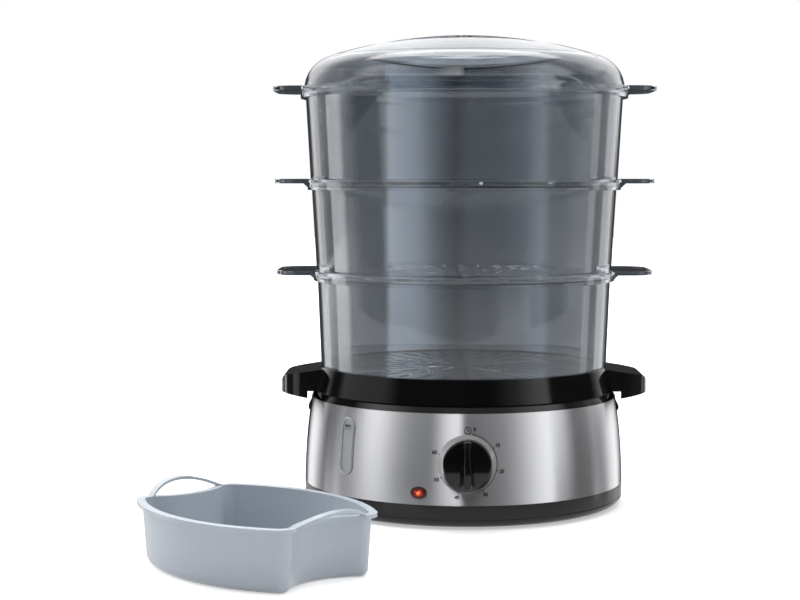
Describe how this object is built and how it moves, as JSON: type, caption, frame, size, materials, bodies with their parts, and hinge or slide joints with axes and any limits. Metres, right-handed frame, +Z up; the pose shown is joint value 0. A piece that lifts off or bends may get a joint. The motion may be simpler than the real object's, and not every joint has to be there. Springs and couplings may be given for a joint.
{
  "type": "electric food steamer",
  "caption": "Tiered electric food steamer with clear stacked baskets, domed lid, steel-fronted base with timer dial and water gauge, and a separate rice bowl.",
  "frame": {"origin": "on the table under the middle of the base, in the plane of the feet", "axes": "+Z up, -Y out of the front with the timer dial, +X to the right seen from the front"},
  "size_m": [0.3861, 0.4831, 0.3805],
  "materials": {
    "black_gloss": "polished black plastic",
    "black_satin": "satin black plastic",
    "steel": "vertically brushed stainless steel",
    "bezel_steel": "satin steel",
    "clear": "clear polycarbonate with a faint grey-blue tint",
    "clear_grey": "clear grey gauge window",
    "lamp_red": "transparent red lens",
    "neon_glass": "small neon lamp",
    "rubber": "black rubber",
    "silicone": "red silicone seal",
    "screw_steel": "zinc-plated screw",
    "cast_aluminium": "cast aluminium",
    "tube_steel": "heating element sheath",
    "sheet_steel": "pressed sheet steel",
    "brass_part": "brass",
    "phenolic": "dark heat-proof plastic",
    "ivory_plastic": "ivory plastic",
    "bowl_white": "pale blue-white glossy plastic"
  },
  "bodies": {
    "base": {"base_housing": "black_gloss", "water_tank": "black_satin", "steel_fascia": "steel", "base_plate": "black_satin", "rubber_feet": "rubber", "base_screws": "screw_steel", "gauge_window": "clear_grey", "gauge_seal": "rubber", "indicator_lens": "lamp_red", "lamp_holder": "ivory_plastic", "neon_lamp": "neon_glass", "dial_bezel": "bezel_steel", "timer_body": "sheet_steel", "timer_bell": "brass_part", "timer_screws": "screw_steel", "heater_plate": "cast_aluminium", "heater_seal": "silicone", "heater_clamp": "sheet_steel", "heater_screws": "screw_steel", "heater_element": "tube_steel", "thermostat": "phenolic", "thermal_fuse": "sheet_steel", "terminal_block": "ivory_plastic", "cord_gland": "rubber"},
    "timer": {"timer_knob": "black_gloss", "timer_shaft": "screw_steel"},
    "ring": {"steam_ring": "black_satin"},
    "tray": {"drip_tray": "black_gloss"},
    "lower_tier": {"basket_lower": "clear", "floor_lower": "clear"},
    "middle_tier": {"basket_middle": "clear", "floor_middle": "clear"},
    "upper_tier": {"basket_upper": "clear", "floor_upper": "clear"},
    "cover": {"lid": "clear"},
    "bowl": {"rice_bowl": "bowl_white"}
  },
  "joints": [
    {"name": "timer_turn", "type": "hinge", "parent": "base", "child": "timer", "pos_m": [0, -0.12895, 0.0507], "axis": [0, 0.997, -0.0777], "range_deg": [0, 288]},
    {"name": "ring_lift", "type": "slide", "parent": "base", "child": "ring", "axis": [0, 0, 1], "range_m": [0, 0.016]},
    {"name": "tray_lift", "type": "slide", "parent": "base", "child": "tray", "axis": [0, 0, 1], "range_m": [0, 0.06]},
    {"name": "lower_lift", "type": "slide", "parent": "tray", "child": "lower_tier", "axis": [0, 0, 1], "range_m": [0, 0.08]},
    {"name": "middle_lift", "type": "slide", "parent": "lower_tier", "child": "middle_tier", "axis": [0, 0, 1], "range_m": [0, 0.08]},
    {"name": "upper_lift", "type": "slide", "parent": "middle_tier", "child": "upper_tier", "axis": [0, 0, 1], "range_m": [0, 0.08]},
    {"name": "lid_lift", "type": "slide", "parent": "upper_tier", "child": "cover", "axis": [0, 0, 1], "range_m": [0, 0.08]},
    {"name": "bowl_lift", "type": "slide", "parent": "base", "child": "bowl", "axis": [0, 0, 1], "range_m": [0, 0.06]}
  ]
}
